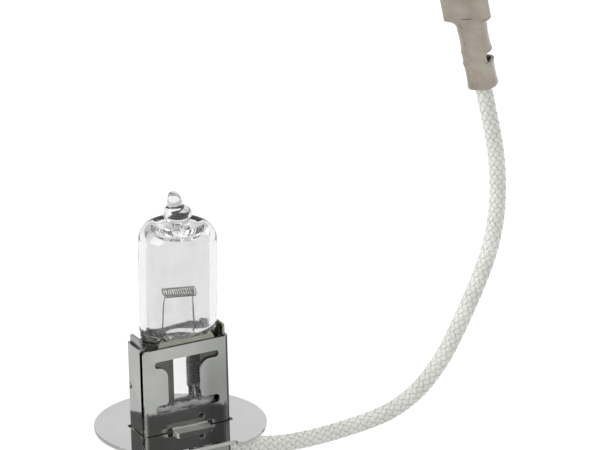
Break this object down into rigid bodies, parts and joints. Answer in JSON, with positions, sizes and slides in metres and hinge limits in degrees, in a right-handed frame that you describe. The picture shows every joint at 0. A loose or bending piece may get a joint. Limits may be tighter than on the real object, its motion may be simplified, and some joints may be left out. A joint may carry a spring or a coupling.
{
  "type": "headlight bulb",
  "caption": "Single-filament halogen headlight bulb: clear glass tube in a windowed sheet-metal base on a round keyed flange, with a short braided lead to a blade terminal.",
  "frame": {"origin": "centre of the flange's glass-side face, which is the lamp's reference plane", "axes": "+Z along the lamp's axis towards the glass tip, +X towards the side where the lead leaves, -Y towards the keyed notch and the front plate"},
  "size_m": [0.0585, 0.0211, 0.0649],
  "materials": {
    "clear_glass": "clear fused quartz",
    "tungsten": "bare tungsten wire",
    "molybdenum": "bare molybdenum",
    "clamp_steel": "bright rolled sheet",
    "shell_steel": "bright nickel-plated sheet",
    "flange_steel": "polished sheet",
    "ceramic": "unglazed ceramic",
    "brass": "bare brass",
    "copper": "bare stranded copper",
    "inner_sleeve": "glass-fibre wrap",
    "braid": "lacquered glass-fibre braid",
    "terminal_brass": "tin-plated brass"
  },
  "bodies": {
    "root": {"glass_envelope": "clear_glass", "filament": "tungsten", "foil_left": "molybdenum", "foil_right": "molybdenum", "outer_lead_left": "molybdenum", "outer_lead_right": "molybdenum", "burner_clamp": "clamp_steel", "outer_shell": "shell_steel", "flange": "flange_steel", "insulator_body": "ceramic", "insulator_cap": "ceramic", "earth_strip": "shell_steel", "splice_clip": "brass", "base_cover": "shell_steel", "lead_conductor": "copper", "lead_inner_sleeve": "inner_sleeve", "lead_braid": "braid", "blade_terminal": "terminal_brass"}
  },
  "joints": []
}
